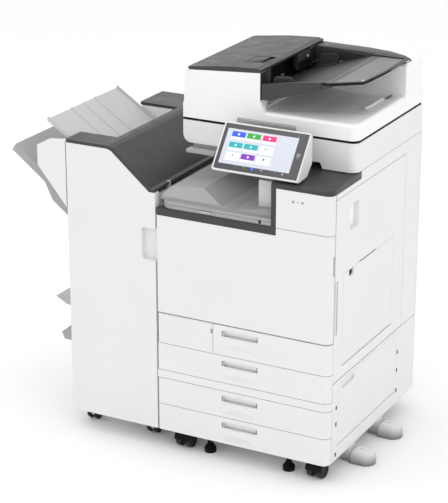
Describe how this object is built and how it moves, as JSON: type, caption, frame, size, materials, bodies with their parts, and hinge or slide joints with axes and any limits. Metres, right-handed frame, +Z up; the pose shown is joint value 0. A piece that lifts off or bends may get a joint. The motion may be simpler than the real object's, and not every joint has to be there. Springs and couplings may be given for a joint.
{
  "type": "photocopier",
  "caption": "Floor-standing office colour photocopier with document feeder, tilting touch panel, paper drawers, drawer bank on casters and a side finisher with delivery trays",
  "frame": {"origin": "centre of the bounding box on the floor plane, under all feet", "axes": "+Z up, +Y toward the rear of the machine, +X toward the side door"},
  "size_m": [1.214, 0.685, 1.227],
  "materials": {
    "white_plastic": "fine moulded grain",
    "dark_plastic": "fine moulded grain",
    "grey_plastic": "fine moulded grain",
    "light_grey_plastic": "smooth moulding",
    "frame_plate": "plain sheet",
    "zinc_steel": "rolled sheet",
    "belt_film": "polished film",
    "roller_rubber": "ground rubber",
    "platen_glass": "polished",
    "screen_glass": "polished",
    "carriage_paint": "satin"
  },
  "bodies": {
    "chassis": {"main_frame": "frame_plate", "inner_cover": "white_plastic", "rear_cover": "white_plastic", "left_cover": "white_plastic", "right_cover": "white_plastic", "upper_front_cover": "white_plastic", "exit_trim": "dark_plastic", "bridge_unit": "grey_plastic", "laser_unit": "frame_plate", "imaging_unit": "belt_film", "fuser_unit": "frame_plate", "toner_bottles": "light_grey_plastic", "waste_toner_bottle": "light_grey_plastic", "bank_case": "white_plastic", "stabiliser_feet": "white_plastic", "levelling_feet": "zinc_steel", "scanner_housing": "white_plastic", "exposure_glass": "platen_glass", "panel_stand": "dark_plastic", "finisher_case": "white_plastic", "finisher_caps": "dark_plastic", "proof_tray": "grey_plastic", "stapler_unit": "zinc_steel"},
    "front_cover": {"front_cover": "white_plastic"},
    "waste_cover": {"waste_cover": "white_plastic"},
    "drawer_1": {"tray_1_front": "white_plastic", "tray_1_bin": "light_grey_plastic"},
    "drawer_2": {"tray_2_front": "white_plastic", "tray_2_bin": "light_grey_plastic"},
    "drawer_3": {"tray_3_front": "white_plastic", "tray_3_bin": "light_grey_plastic"},
    "drawer_4": {"tray_4_front": "white_plastic", "tray_4_bin": "light_grey_plastic"},
    "right_door": {"right_door": "white_plastic"},
    "bypass_tray": {"bypass_tray": "white_plastic"},
    "bank_door": {"bank_door": "white_plastic"},
    "scan_carriage": {"scan_carriage": "carriage_paint"},
    "document_feeder": {"adf_body": "white_plastic"},
    "feed_cover": {"adf_feed_cover": "dark_plastic"},
    "input_tray": {"adf_input_tray": "dark_plastic"},
    "guide_front": {"adf_guide_front": "white_plastic"},
    "guide_rear": {"adf_guide_rear": "white_plastic"},
    "pickup_roller": {"adf_pickup_roller": "roller_rubber"},
    "operation_panel": {"panel_housing": "white_plastic", "touch_screen": "screen_glass"},
    "finisher_door": {"finisher_door": "white_plastic"},
    "finisher_top_cover": {"finisher_top_cover": "dark_plastic"},
    "shift_tray": {"shift_tray": "grey_plastic"},
    "booklet_tray": {"booklet_tray": "grey_plastic"},
    "finisher_exit_roller": {"finisher_exit_roller": "roller_rubber"},
    "caster_fork_front_left": {"caster_fork_front_left": "dark_plastic"},
    "caster_wheels_front_left": {"caster_wheels_front_left": "roller_rubber"},
    "caster_fork_front_right": {"caster_fork_front_right": "dark_plastic"},
    "caster_wheels_front_right": {"caster_wheels_front_right": "roller_rubber"},
    "caster_fork_rear_left": {"caster_fork_rear_left": "dark_plastic"},
    "caster_wheels_rear_left": {"caster_wheels_rear_left": "roller_rubber"},
    "caster_fork_rear_right": {"caster_fork_rear_right": "dark_plastic"},
    "caster_wheels_rear_right": {"caster_wheels_rear_right": "roller_rubber"},
    "finisher_wheels_front": {"finisher_wheels_front": "roller_rubber"},
    "finisher_wheels_rear": {"finisher_wheels_rear": "roller_rubber"}
  },
  "joints": [
    {"name": "front_cover_hinge", "type": "hinge", "parent": "chassis", "child": "front_cover", "pos_m": [0.245, -0.3245, 0.47], "axis": [1, 0, 0], "range_deg": [0, 90]},
    {"name": "waste_cover_hinge", "type": "hinge", "parent": "chassis", "child": "waste_cover", "pos_m": [-0.041, -0.3245, 0.41], "axis": [0, 0, -1], "range_deg": [0, 100]},
    {"name": "drawer_1_slide", "type": "slide", "parent": "chassis", "child": "drawer_1", "axis": [0, -1, 0], "range_m": [0, 0.45]},
    {"name": "drawer_2_slide", "type": "slide", "parent": "chassis", "child": "drawer_2", "axis": [0, -1, 0], "range_m": [0, 0.45]},
    {"name": "drawer_3_slide", "type": "slide", "parent": "chassis", "child": "drawer_3", "axis": [0, -1, 0], "range_m": [0, 0.45]},
    {"name": "drawer_4_slide", "type": "slide", "parent": "chassis", "child": "drawer_4", "axis": [0, -1, 0], "range_m": [0, 0.45]},
    {"name": "right_door_hinge", "type": "hinge", "parent": "chassis", "child": "right_door", "pos_m": [0.529, -0.0455, 0.338], "axis": [0, 1, 0], "range_deg": [0, 60]},
    {"name": "bypass_tray_hinge", "type": "hinge", "parent": "right_door", "child": "bypass_tray", "pos_m": [0.531, -0.0575, 0.373], "axis": [0, 1, 0], "range_deg": [0, 70]},
    {"name": "bank_door_hinge", "type": "hinge", "parent": "chassis", "child": "bank_door", "pos_m": [0.5315, -0.0415, 0.114], "axis": [0, 1, 0], "range_deg": [0, 90]},
    {"name": "scan_carriage_slide", "type": "slide", "parent": "chassis", "child": "scan_carriage", "axis": [1, 0, 0], "range_m": [0, 0.43]},
    {"name": "feeder_lift_hinge", "type": "hinge", "parent": "chassis", "child": "document_feeder", "pos_m": [0.243, 0.3335, 1.053], "axis": [-1, 0, 0], "range_deg": [0, 65]},
    {"name": "feed_cover_hinge", "type": "hinge", "parent": "document_feeder", "child": "feed_cover", "pos_m": [-0.0255, 0.0505, 1.2015], "axis": [0, -1, 0], "range_deg": [0, 75]},
    {"name": "input_tray_hinge", "type": "hinge", "parent": "document_feeder", "child": "input_tray", "pos_m": [0.236, 0.0315, 1.168], "axis": [0, -1, 0], "range_deg": [0, 20]},
    {"name": "guide_front_slide", "type": "slide", "parent": "input_tray", "child": "guide_front", "axis": [0, 1, 0], "range_m": [0, 0.09]},
    {"name": "guide_rear_slide", "type": "slide", "parent": "input_tray", "child": "guide_rear", "axis": [0, 1, 0], "range_m": [-0.09, 0]},
    {"name": "pickup_roller_spin", "type": "hinge", "parent": "document_feeder", "child": "pickup_roller", "pos_m": [0.165, 0.0285, 1.172], "axis": [0, 1, 0], "continuous": true},
    {"name": "panel_tilt", "type": "hinge", "parent": "chassis", "child": "operation_panel", "pos_m": [0.282, -0.2215, 1.008], "axis": [-1, 0, 0], "range_deg": [0, 25]},
    {"name": "finisher_door_hinge", "type": "hinge", "parent": "chassis", "child": "finisher_door", "pos_m": [-0.361, -0.3245, 0.5], "axis": [0, 0, -1], "range_deg": [0, 95]},
    {"name": "finisher_top_cover_hinge", "type": "hinge", "parent": "chassis", "child": "finisher_top_cover", "pos_m": [-0.0605, 0.0235, 0.8515], "axis": [0, 1, 0], "range_deg": [0, 45]},
    {"name": "shift_tray_slide", "type": "slide", "parent": "chassis", "child": "shift_tray", "axis": [0, 0, -1], "range_m": [0, 0.22]},
    {"name": "booklet_tray_hinge", "type": "hinge", "parent": "chassis", "child": "booklet_tray", "pos_m": [-0.38, -0.0735, 0.256], "axis": [0, 1, 0], "range_deg": [0, 55]},
    {"name": "finisher_exit_roller_spin", "type": "hinge", "parent": "chassis", "child": "finisher_exit_roller", "pos_m": [-0.218, -0.0535, 0.928], "axis": [0, 1, 0], "continuous": true},
    {"name": "caster_swivel_front_left", "type": "hinge", "parent": "chassis", "child": "caster_fork_front_left", "pos_m": [0.025, -0.2615, 0.066], "axis": [0, 0, 1], "continuous": true},
    {"name": "caster_spin_front_left", "type": "hinge", "parent": "caster_fork_front_left", "child": "caster_wheels_front_left", "pos_m": [0.025, -0.2855, 0.028], "axis": [1, 0, 0], "continuous": true},
    {"name": "caster_swivel_front_right", "type": "hinge", "parent": "chassis", "child": "caster_fork_front_right", "pos_m": [0.483, -0.2615, 0.066], "axis": [0, 0, 1], "continuous": true},
    {"name": "caster_spin_front_right", "type": "hinge", "parent": "caster_fork_front_right", "child": "caster_wheels_front_right", "pos_m": [0.483, -0.2855, 0.028], "axis": [1, 0, 0], "continuous": true},
    {"name": "caster_swivel_rear_left", "type": "hinge", "parent": "chassis", "child": "caster_fork_rear_left", "pos_m": [0.025, 0.2665, 0.066], "axis": [0, 0, 1], "continuous": true},
    {"name": "caster_spin_rear_left", "type": "hinge", "parent": "caster_fork_rear_left", "child": "caster_wheels_rear_left", "pos_m": [0.025, 0.2425, 0.028], "axis": [1, 0, 0], "continuous": true},
    {"name": "caster_swivel_rear_right", "type": "hinge", "parent": "chassis", "child": "caster_fork_rear_right", "pos_m": [0.447, 0.2665, 0.066], "axis": [0, 0, 1], "continuous": true},
    {"name": "caster_spin_rear_right", "type": "hinge", "parent": "caster_fork_rear_right", "child": "caster_wheels_rear_right", "pos_m": [0.447, 0.2425, 0.028], "axis": [1, 0, 0], "continuous": true},
    {"name": "finisher_wheel_spin_front", "type": "hinge", "parent": "chassis", "child": "finisher_wheels_front", "pos_m": [-0.227, -0.2435, 0.024], "axis": [1, 0, 0], "continuous": true},
    {"name": "finisher_wheel_spin_rear", "type": "hinge", "parent": "chassis", "child": "finisher_wheels_rear", "pos_m": [-0.227, 0.2065, 0.024], "axis": [1, 0, 0], "continuous": true}
  ],
  "couplings": [
    {"joint": "guide_rear_slide", "follows": "guide_front_slide", "ratio": -1}
  ]
}
